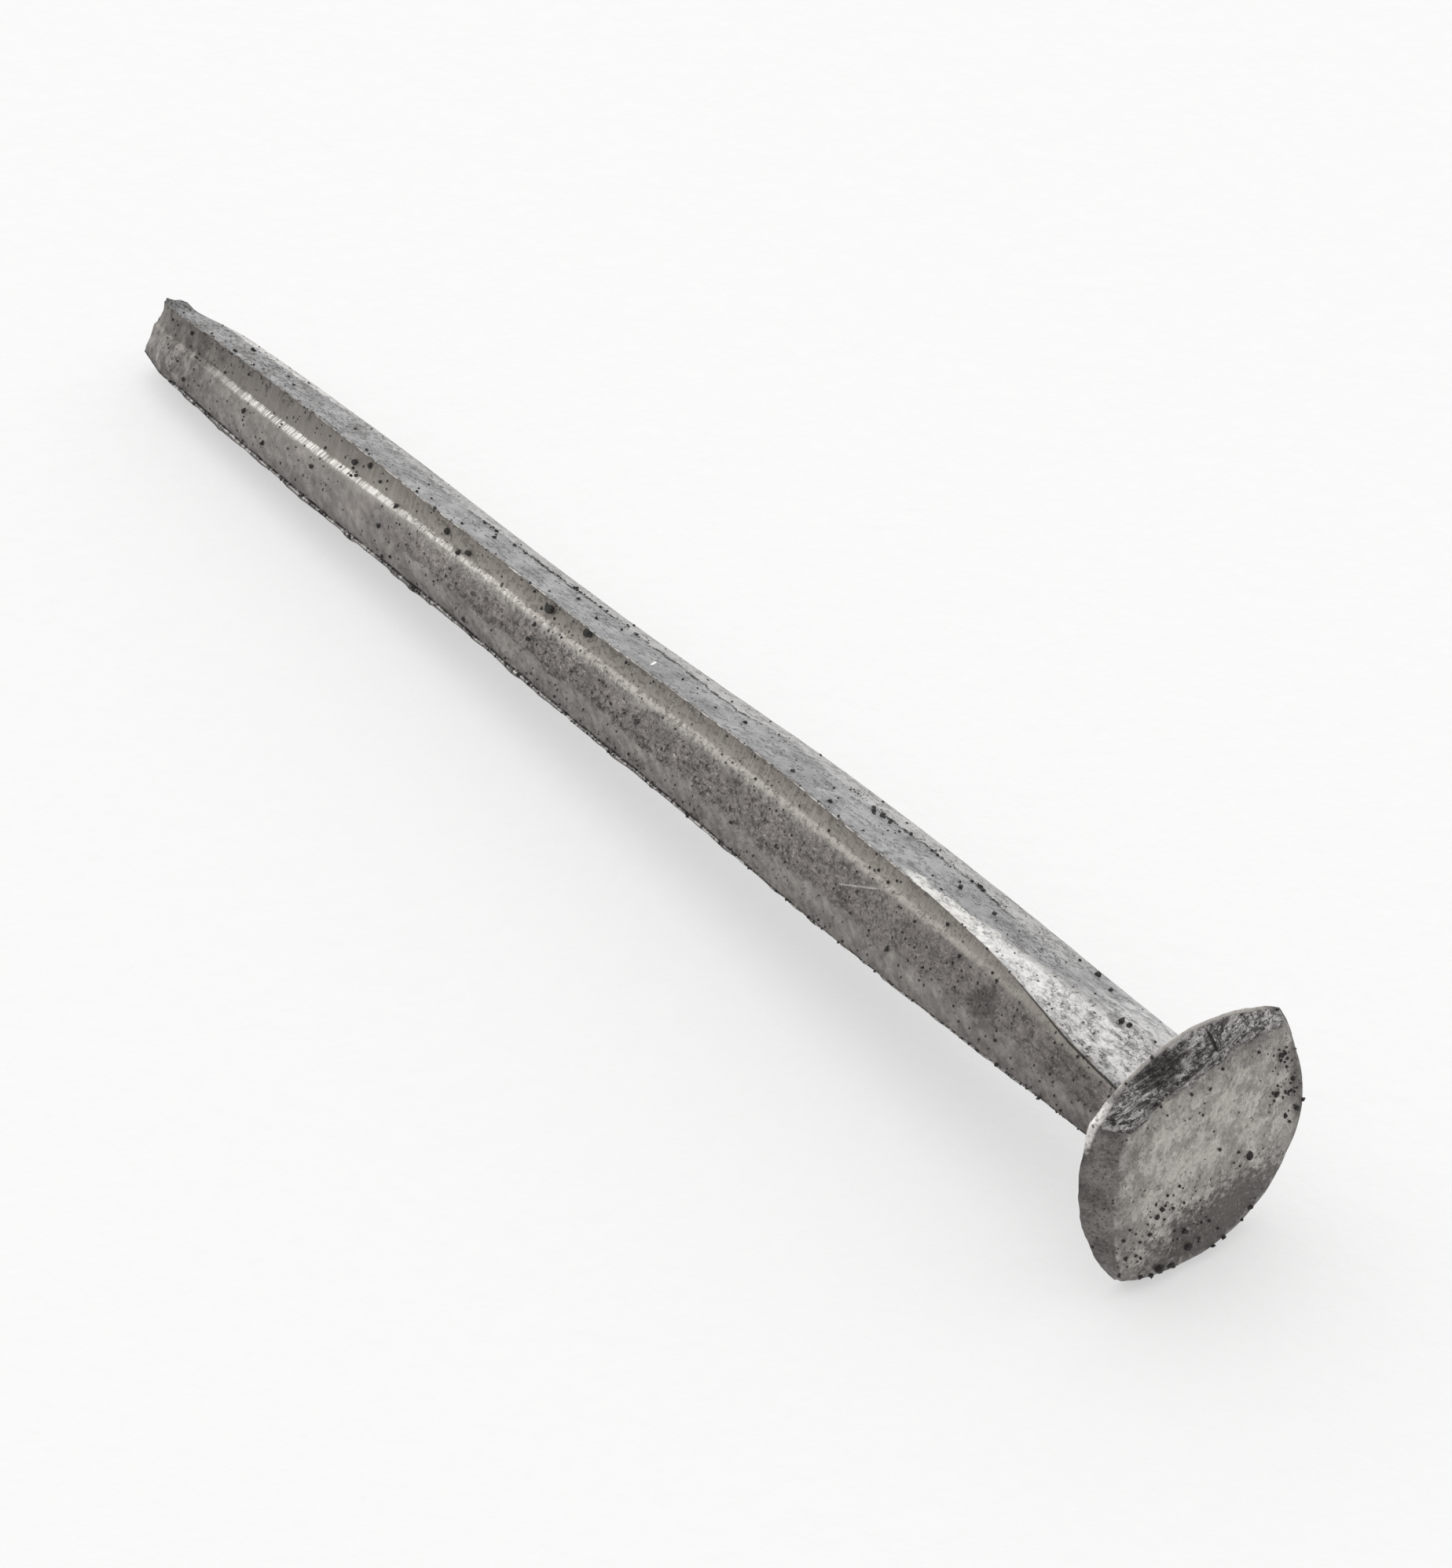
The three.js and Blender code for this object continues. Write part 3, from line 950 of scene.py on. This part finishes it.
def torn_colour(g, s, ragged):
    """The torn steel below the ledge. ragged is the height with a waver."""
    # Painted glints: pale sparkles on the torn grains.
    sparkle_glints = g.noise((3.6, 3.6, 7), 34, detail=6, rough=0.8).step(0.57, 0.62)
    scratches = g.lines((1, 2.4, 2.4), 38, 0.012, detail=5, rough=0.62) * s.mottle.step(0.50, 0.58)
    lint = g.spot((-28.1, -3.4, 0.6), (1.9, 3, 0.07), 52, ragged=0.15, turn=24)
    margin = ragged.step(0.60, 0.67) * ragged.step(0.78, 0.72) * s.middle * s.mottle.step(0.50, 0.55)
    return g.over(
        g.mix(s.grain.step(0.38, 0.64), TORN_DARK, TORN_PALE),
        (s.mottle.step(0.46, 0.62) * 0.45, TORN_BROWN),
        (s.torn_pits * (s.middle * 0.6 + 0.25), TORN_PIT),
        (sparkle_glints * s.middle * 0.65, LEDGE_PALE),
        (scratches * s.middle * 0.6, LEDGE_PALE),
        (lint * 0.7, LEDGE_PALE),
        (margin * 0.65, SCORED),
    )


def band_colour(g, s):
    """The smoother band along the lower edge, with slanting smears."""
    smears = g.noise((0.7, 0.5, 2.2), 32, detail=4, rough=0.6, turn=-30)
    return g.over(
        g.mix(smears.step(0.36, 0.66), BAND_DARK, BAND_PALE),
        (s.torn_pits * s.tipward * 0.35, TORN_PIT),
        (s.streaks.step(0.52, 0.66) * s.tipward * 0.25, LEDGE_PALE),
    )


def ledge_over(g, s, colour):
    """Adds the ledge: a pale brushed band at mid-length, partly burnished steel and partly painted sheen, and
    a painted highlight broken by streaks towards the tip.
    """
    wavy = s.ledge + (s.streaks - 0.5) * 0.22 + (s.mottle - 0.5) * 0.25
    top_edge = wavy.step(0.86, 0.93)
    hairs = g.noise((5.2, 0.9, 0.9), 37, detail=6, rough=0.75, turn=20).step(0.48, 0.58)
    # A painted highlight along the ledge's upper edge, broken up by streaks and hairs.
    ledge_highlight = top_edge * wavy.step(1.15, 1.05) * s.past(50, 72) * s.past(96.5, 89)
    brushing = s.streaks.step(0.45, 0.54) * s.past(66, 80) + hairs * s.past(80, 66)
    ledge_highlight = ledge_highlight * (brushing * 0.85 + 0.15)
    # A pale band along the ledge: burnished steel with painted sheen on it.
    glow = top_edge * wavy.step(2, 1.1) * (s.past(20, 44) * 0.10 + 0.04)
    brushed = (hairs * 0.9 + 0.1) * s.past(18, 40) * s.past(84, 66)
    glow = glow + top_edge * wavy.step(1.50, 1.20) * brushed * 0.38
    return g.over(colour, (glow, LEDGE_PALE), (ledge_highlight, LEDGE_BRIGHT))


def sheared_colour(g, s):
    """Hollow, ledge, torn middle and lower band, worn and chipped at the tip."""
    ragged = s.height + (g.noise((0.5, 0.9, 0.9), 35, detail=6, rough=0.68) - 0.5) * 0.40
    lower = ragged.step(0.70, 0.76)
    s.lower = lower + (1 - lower) * s.past(68, 80) * 0.8
    worn = g.noise((1.6, 0.8, 0.8), 39, detail=7, rough=0.74).step(0.42, 0.58)
    chips = g.noise((2, 1.4, 1.4), 40, detail=6, rough=0.76).step(0.53, 0.58)
    chips = chips * s.past(78, 92) * (s.height.step(0.26, 0.05) * 0.65 + 0.25)
    torn = g.mix(s.lower, torn_colour(g, s, ragged), band_colour(g, s))
    return g.over(
        ledge_over(g, s, g.mix(s.below, hollow_colour(g, s), torn)),
        (worn * s.past(90, 98) * 0.85, FACET_DARK),
        (chips, SCORED),
    )


def gripped_over(g, s, colour):
    """Adds the steel that the heading dies left bare, which is ragged at its edges."""
    flake = g.noise((0.9, 1.7, 1.7), 41, detail=8, rough=0.68)
    patchy = g.noise((0.8, 2.8, 2.8), 44, detail=8, rough=0.75)
    s.bare_area = (s.grip + (flake - 0.5) * 0.5).step(0.00, 0.05) * s.past(26.5, 25)
    s.crackle = g.lines((0.8, 1.2, 1.2), 42, 0.014, detail=6, rough=0.66) * s.patches.step(0.42, 0.54)
    seam = s.grip + (s.mottle - 0.5) * 0.12
    seam = seam.step(-0.11, -0.06) * seam.step(0.02, -0.02)
    seam = seam * s.side.step(0.8, 1) * s.past(17, 13)
    flaked = g.noise((1, 2.2, 2.2), 48, detail=8, rough=0.72) + s.past(13, 5) * 0.11
    flaked = flaked.step(0.49, 0.56) * s.past(16, 9) * s.rolled
    bare = g.over(
        g.mix(s.grip.step(0, 0.35), BARE_DARK, BARE_PALE),
        (s.past(16, 22) * 0.9, PALE_WEAR_AND_HIGHLIGHT),
        (flake.step(0.50, 0.62) * s.past(24, 16) * 0.40, SCALE_PALE),
        (s.neckward * 0.5, SCALE_WORN),
        (patchy.step(0.48, 0.55) * (s.neckward * 0.6 + 0.12), SCALE_DARK),
        (patchy.step(0.56, 0.61) * (s.neckward * 0.6 + 0.1), TORN_PIT),
        (s.crackle * 0.7, TORN_PIT),
    )
    return g.over(
        colour,
        (s.bare_area, bare),
        (seam * 0.85, BLACK_GRIT_AND_SHADE),
        (flaked * (1 - s.bare_area) * 0.7, BARE_PALE),
    )


def edges_over(g, s, colour):
    """Adds the upper edge, worn and with a painted highlight along it, and the lower one's groove with
    painted shade in it, bright wire and grit.
    """
    # The pale line along the upper edge is worn steel with a painted highlight on it.
    worn = g.mark("crest") * g.noise(1.6, 45, detail=6, rough=0.74)
    chipped = worn.step(0.30, 0.36) * worn.step(0.46, 0.42) * (s.tipward * 0.5 + 0.4)
    thread = g.mark("thread")
    dashes = g.noise((3.2, 1, 1), 46, detail=5, rough=0.74)
    # The groove's dark dashes are painted shade.
    groove = thread.step(0.02, 0.12) * thread.step(0.42, 0.30)
    wire = thread.step(0.30, 0.42) * thread.step(0.72, 0.60) * dashes.step(0.49, 0.53)
    clots = thread.step(0.02, 0.12) * g.noise((2.2, 1, 1), 49, detail=6, rough=0.75).step(0.54, 0.58)
    return g.over(
        colour,
        (worn.step(0.47, 0.54) * (1 - s.tipward * 0.8) * 0.95, PALE_WEAR_AND_HIGHLIGHT),
        (chipped, SCORED),
        (groove * dashes.step(0.58, 0.50) * 0.85, BLACK_GRIT_AND_SHADE),
        (wire * 0.9, PALE_WEAR_AND_HIGHLIGHT),
        (clots * 0.9, BLACK_GRIT_AND_SHADE),
    )


def shank_shade(g, s):
    """Brightness: uneven at random, with painted shade low on the sides; also darker on the sides at the
    neck, and on the tip.
    """
    unevenness = s.side * (s.below * (1 - s.lower * 0.6) * 1.1 + 0.25) + s.rolled * 0.5
    shade = 1 + unevenness * ((s.mottle - 0.5) * 1.3 + (s.clouds - 0.5) * 0.7)
    # Painted shade towards the lower edge of the sides.
    shade = shade - s.side * s.height.step(0.80, 1) * 0.20 - s.side * s.past(22, 5) * 0.18
    return shade - g.mark("tip") * 0.42


def shank_material():
    """Rolled scale, and torn and burnished steel on the sheared sides."""
    g = Graph("rolled_and_sheared_steel")
    s = shank_fields(g)
    fleck = g.spot((-51.6, -1.2, 2.7), (0.72, 0.09, 3), 19, ragged=0.1, turn=58, axis="Z")
    smudge = g.spot((-16.2, -3.4, -0.4), (1.2, 1, 1.3), 47, ragged=1.4)
    dust = g.specks(2.3, 21, 0.35, 0.24)
    tip_pits = g.specks(3, 22, 0.6, 0.36) * s.tipward * s.rolled

    colour = g.mix(s.side.step(0.35, 0.65), rolled_colour(g, s), sheared_colour(g, s))
    colour = g.mix(fleck * s.rolled, gripped_over(g, s, colour), LEDGE_BRIGHT)
    colour = g.over(
        edges_over(g, s, colour),
        (smudge * 0.5, TORN_PIT),
        (s.crack * 0.9, BLACK_GRIT_AND_SHADE),
        (dust * 0.85, BLACK_GRIT_AND_SHADE),
        (tip_pits * 0.85, BLACK_GRIT_AND_SHADE),
        (s.past(99.9, 100.9) * s.rolled * 0.55, SCORED),
    )
    colour = g.scaled(colour, shank_shade(g, s))

    fine = g.noise(19, 3, detail=3, rough=0.7)
    roughness = 0.44 + s.grain * 0.14 - s.bare_area * 0.08
    relief = s.grain * 0.024 + fine * 0.009 + s.mottle * 0.02
    relief = relief + s.side * (s.torn_pits * s.middle * -0.05 + s.streaks * 0.006)
    relief = relief - s.rolled * (s.marks * (s.tipward * 0.04 + 0.02) + s.veins * 0.02)
    relief = relief - dust * 0.03 - tip_pits * 0.07 - s.crack * 0.07 - s.bare_area * s.crackle * 0.02
    return g.finish(colour, roughness, relief, METALLIC)


def head_fields(g):
    """What the head's colours share."""
    h = SimpleNamespace()
    h.forged = g.mark("forged")
    h.spread = g.mark("spread")
    h.clouds = g.noise(0.55, 101, detail=5, rough=0.62)
    h.mottle = g.noise(1.6, 123, detail=6, rough=0.70)
    h.pits = g.noise(4.4, 113, detail=6, rough=0.76)
    h.drawn = g.noise((1, 3.2, 0.6), 105, detail=8, rough=0.76, turn=34, axis="X")
    h.strands = g.noise((2.6, 0.5, 4.4), 106, detail=7, rough=0.62, warp=0.25, turn=-12, axis="X")
    h.split = g.lines((1, 0.9, 1.4), 115, 0.022, detail=6, rough=0.68, turn=-20, axis="X")
    return h


def facet_colour(g, h):
    """The plainer facets, dark and lightly pitted."""
    scuffs = g.noise((3, 6, 1), 112, detail=5, rough=0.7)
    return g.over(
        g.mix(h.clouds.step(0.38, 0.64), FACET_DARK, FACET_PALE),
        (scuffs.step(0.50, 0.64) * 0.35, FACET_PALE),
        (h.pits.step(0.53, 0.60) * 0.6, TORN_PIT),
        (h.pits.step(0.45, 0.39) * 0.35, STRIKE_DARK),
    )


def strike_colour(g, h):
    """The strike face: streaks drawn across it, and paler in its middle."""
    patches = g.noise((0.5, 0.75, 0.6), 111, detail=7, rough=0.70)
    scuffs = g.noise((7, 7, 4), 117, detail=4, rough=0.8)
    middle = h.spread.step(3.02, 3.36)
    low = g.spot((-0.3, 1.4, -5.6), (2.5, 6.2, 3.5), 110, ragged=1.2)
    scarred = h.mottle.step(0.48, 0.56) * ((1 - middle) * 0.55 + 0.30)
    return g.over(
        g.mix(patches.step(0.43, 0.55), STRIKE_DARK, STRIKE_PALE),
        (h.drawn.step(0.53, 0.62) * 0.40, FACET_DARK),
        (h.drawn.step(0.45, 0.38) * 0.30, PALE_WEAR_AND_HIGHLIGHT),
        ((1 - middle) * (h.clouds.step(0.40, 0.56) * 0.40 + 0.14), FACET_DARK),
        (low * 0.95, FACET_DARK),
        (h.pits.step(0.52, 0.60) * scarred, TORN_PIT),
        (scuffs.step(0.55, 0.63) * 0.30, FACET_DARK),
        (scuffs.step(0.44, 0.37) * 0.25, PALE_WEAR_AND_HIGHLIGHT),
    )


def hammered_colour(g, h):
    """The upper facet: torn strands, a dark hollow, and two splits."""
    threads = g.lines((2.2, 0.45, 3.4), 120, 0.030, detail=5, rough=0.6, turn=-12, axis="X")
    chips = g.noise((3, 1.4, 5), 114, detail=6, rough=0.76)
    hollow = g.spot((-0.6, -2.7, 6.9), (1.6, 1.8, 1.1), 107, ragged=0.9)
    h.splits = g.spot((-0.6, 0.85, 7.05), (1.5, 0.13, 0.60), 109, ragged=0.25)
    h.splits = h.splits.math("MAXIMUM", g.spot((-1, 1.3, 8.6), (1, 0.14, 0.45), 124, ragged=0.25))
    return g.over(
        g.mix(h.strands.step(0.43, 0.62), FORGED_DARK, FORGED_PALE),
        (threads * h.pits.step(0.46, 0.54) * 0.6, PALE_WEAR_AND_HIGHLIGHT),
        (chips.step(0.56, 0.61) * 0.7, PALE_WEAR_AND_HIGHLIGHT),
        (h.split * 0.8, FORGED_SHADE),
        (hollow * 0.75, FORGED_SHADE),
        (h.splits * 0.9, BLACK_GRIT_AND_SHADE),
    )


def rim_colour(g, h):
    """The rim and underside: dull, with a painted highlight along the upper edge and a brighter painted
    highlight on the left corner.
    """
    outer = h.spread.step(0.80, 0.95)
    # Painted highlights: a pale line along the rim's upper edge and a bright patch on its left corner.
    upper_edge_highlight = g.spot((-1.7, -1, 8.2), (1.2, 7.5, 3), 118, ragged=0.4)
    corner_highlight = g.spot((-1.7, -6.8, 5), (1, 1.3, 2.1), 116, ragged=0.6)
    corner_highlight = corner_highlight * (h.pits.step(0.58, 0.50) * 0.4 + 0.6)
    return g.over(
        g.mix(h.clouds.step(0.36, 0.60) * 0.6 + 0.2, FORGED_DARK, FACET_PALE),
        (upper_edge_highlight * outer * 0.8, LEDGE_PALE),
        (corner_highlight * outer, LEDGE_BRIGHT),
    )


def head_material():
    """Hammered facets and a strike face with drawn streaks."""
    g = Graph("hammered_steel")
    h = head_fields(g)
    ragged = h.spread + (g.noise(1.1, 104, detail=5, rough=0.65) - 0.5) * 0.9
    on_face = ragged.step(2.75, 3.10)
    on_forged = h.forged.step(0.3, 0.7) * ragged.step(3.08, 2.90)
    on_rim = (g.mark("rim") + g.mark("under")).math("MINIMUM", 1)
    # A painted highlight along the ridge where the plainer facets meet the strike face.
    ridge_highlight = h.spread.step(2.80, 2.92) * h.spread.step(3.06, 2.98) * (1 - h.forged) * h.mottle.step(0.46, 0.58)
    soft_corner = g.spot((-0.7, -5.4, 5), (1.4, 1.3, 0.6), 108)
    dull_end = g.spot((-0.6, 6.6, 0.5), (2, 1, 5.5), 119)
    dust = g.specks(2.6, 121, 0.45, 0.26) * g.noise(0.45, 122).step(0.47, 0.60)

    colour = g.over(
        g.mix(on_face, facet_colour(g, h), strike_colour(g, h)),
        (ridge_highlight * 0.25, PALE_WEAR_AND_HIGHLIGHT),
        (on_forged, hammered_colour(g, h)),
        (soft_corner * h.strands.step(0.46, 0.56) * 0.5, PALE_WEAR_AND_HIGHLIGHT),
        (on_rim, rim_colour(g, h)),
        (dull_end * 0.45, TORN_PIT),
        (dust * 0.85, BLACK_GRIT_AND_SHADE),
    )
    colour = g.scaled(colour, 1 + (h.mottle - 0.5) * (1.1 - on_face * 0.5))

    grain = g.noise(5.5, 102, detail=5, rough=0.7)
    fine = g.noise(18, 103, detail=3, rough=0.7)
    relief = grain * 0.025 + fine * 0.009 - dust * 0.04 + h.drawn * 0.02 - h.pits.step(0.54, 0.64) * 0.015
    relief = relief + on_forged * (h.strands * 0.25 - h.split * 0.10 - h.splits * 0.25)
    return g.finish(colour, 0.42 + grain * 0.16, relief, METALLIC)


def grit_material():
    g = Graph("black_scale_grit")
    grain = node(g.tree, "TexNoise", {"Scale": 9000, "Detail": 3})
    colour = g.mix(grain, tone(30, 28, 27), tone(62, 59, 57))
    return g.finish(colour, 0.6 + grain * 0.1, grain * 0.03, 0)


def paper_material():
    """A matt white sheet, with a faint tooth that shows in the shadow."""
    g = Graph("white_board")
    place = node(g.tree, "NewGeometry", {}, output="Position")
    tooth = node(g.tree, "TexNoise", {"Vector": place, "Scale": 700, "Detail": 3, "Roughness": 0.6})
    lumps = node(g.tree, "TexNoise", {"Vector": place, "Scale": 330, "Detail": 4, "Roughness": 0.6})
    colour = g.mix(tooth, FLOOR_LOW, FLOOR_HIGH)
    return g.finish(colour, 0.9, tooth * 0.06 + lumps * 0.08, 0, glow=FLOOR_GLOW)


METALLIC = 0.8
SCALE_DARK, SCALE_PALE, SCALE_WORN = tone(136, 136, 137), tone(154, 154, 155), tone(174, 173, 171)
SCALE_PIT = tone(84, 82, 81)
TIP_BROWN = tone(112, 108, 102)
HOLLOW_SHADED, HOLLOW_PALE = tone(132, 126, 119), tone(156, 150, 143)
# Pale and bright steel; also the painted sheen and highlights on the ledge, the torn grains' glints and the
# rim's highlights.
LEDGE_PALE, LEDGE_BRIGHT = tone(206, 202, 197), tone(228, 225, 221)
TORN_DARK, TORN_PALE, TORN_PIT = tone(114, 109, 106), tone(150, 144, 140), tone(72, 69, 67)
TORN_BROWN = tone(120, 111, 108)
SCORED = tone(56, 53, 51)
BAND_DARK, BAND_PALE = tone(130, 125, 121), tone(156, 151, 147)
BARE_DARK, BARE_PALE = tone(158, 156, 153), tone(203, 202, 200)
# Pale steel for worn and bare marks, and for painted highlights: glints, the upper edge's line and the head's
# ridge.
PALE_WEAR_AND_HIGHLIGHT = tone(214, 212, 208)
# Near black for grit, cracks and splits, and for the painted shade in the lower edge's groove.
BLACK_GRIT_AND_SHADE = tone(40, 38, 36)
FACET_DARK, FACET_PALE = tone(92, 88, 85), tone(128, 124, 121)
STRIKE_DARK, STRIKE_PALE = tone(156, 152, 147), tone(192, 188, 182)
FORGED_DARK, FORGED_PALE, FORGED_SHADE = tone(80, 77, 76), tone(166, 164, 162), tone(40, 37, 36)
FLOOR_LOW, FLOOR_HIGH = (0.36, 0.36, 0.358, 1), (0.38, 0.38, 0.378, 1)
FLOOR_GLOW = 0.507

# ---- Studio ----

AZIMUTH = math.radians(53.14)
ELEVATION = math.radians(40.10)
CAMERA_DISTANCE = 0.508
AIM = Vector((0.00664, 0.00008, 0.004415))
LENS = 201.93

FLOOR_RADIUS = 2.0
# The studio is a white dome that is brightest behind the spike, and dim towards the camera.
KEY = Vector((-0.56, 0.46, 0.69)).normalized()
DOME_DIM, DOME_BRIGHT = 0.35, 1.55
DOME_FADE = (-0.20, 0.75)


def add_floor():
    size = FLOOR_RADIUS
    corners = np.array([(-size, -size, 0), (size, -size, 0), (size, size, 0), (-size, size, 0)], float)
    floor = mesh_object("floor", corners, [[0, 1, 2, 3]])
    floor.data.materials.append(paper_material())


def add_dome():
    world = bpy.data.worlds.new("studio_dome")
    world.use_nodes = True
    tree = world.node_tree
    direction = node(tree, "TexCoord", {}, output="Generated")
    facing = node(tree, "VectorMath", [direction, KEY], output="Value", operation="DOT_PRODUCT")
    strength = facing.step(*DOME_FADE) * (DOME_BRIGHT - DOME_DIM) + DOME_DIM
    tree.links.new(strength.socket, tree.nodes["Background"].inputs["Strength"])
    tree.nodes["Background"].inputs["Color"].default_value = (1, 1, 1, 1)
    bpy.context.scene.world = world


def add_camera():
    back = Vector((
        math.sin(AZIMUTH) * math.cos(ELEVATION),
        -math.cos(AZIMUTH) * math.cos(ELEVATION),
        math.sin(ELEVATION),
    ))
    data = bpy.data.cameras.new("camera")
    data.lens = LENS
    camera = bpy.data.objects.new("camera", data)
    camera.location = AIM + back * CAMERA_DISTANCE
    camera.rotation_euler = back.to_track_quat("Z", "Y").to_euler()
    bpy.context.scene.collection.objects.link(camera)
    bpy.context.scene.camera = camera


# ---- The scene ----

spike, grid = build_spike()
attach(spike, "root")
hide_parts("spike")
grit = build_grit(grid)
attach(grit, "root")

add_floor()
add_dome()
add_camera()
bpy.context.scene.view_settings.view_transform = "Standard"
